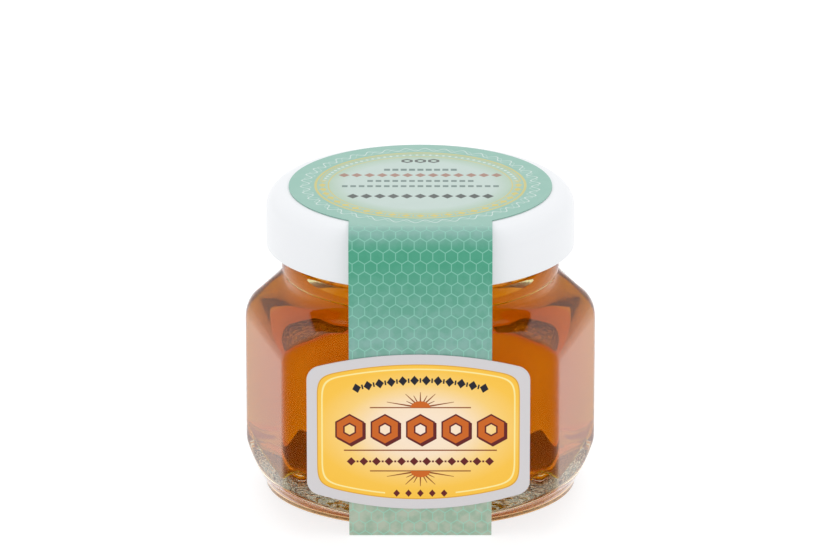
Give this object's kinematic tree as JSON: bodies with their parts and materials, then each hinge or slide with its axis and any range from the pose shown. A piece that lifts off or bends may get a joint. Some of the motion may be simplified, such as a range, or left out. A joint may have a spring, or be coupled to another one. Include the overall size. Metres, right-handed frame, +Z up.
{
  "type": "honey jar",
  "caption": "Small thick-walled oval-hexagon glass jar full of honey, with a white twist-off lid, a green paper seal over lid and front, and an arched yellow front label.",
  "frame": {"origin": "middle of the jar's base, on the surface it stands on", "axes": "+Z up, -Y towards the front label, +X to the right of the label as it is read"},
  "size_m": [0.0524, 0.0464, 0.047],
  "materials": {
    "glass": "gloss",
    "honey": "gloss",
    "lid_enamel": "gloss",
    "seal_paper": "satin",
    "label_paper": "satin"
  },
  "bodies": {
    "root": {"glass": "glass", "honey": "honey", "lid": "lid_enamel", "seal": "seal_paper", "label": "label_paper"}
  },
  "joints": []
}
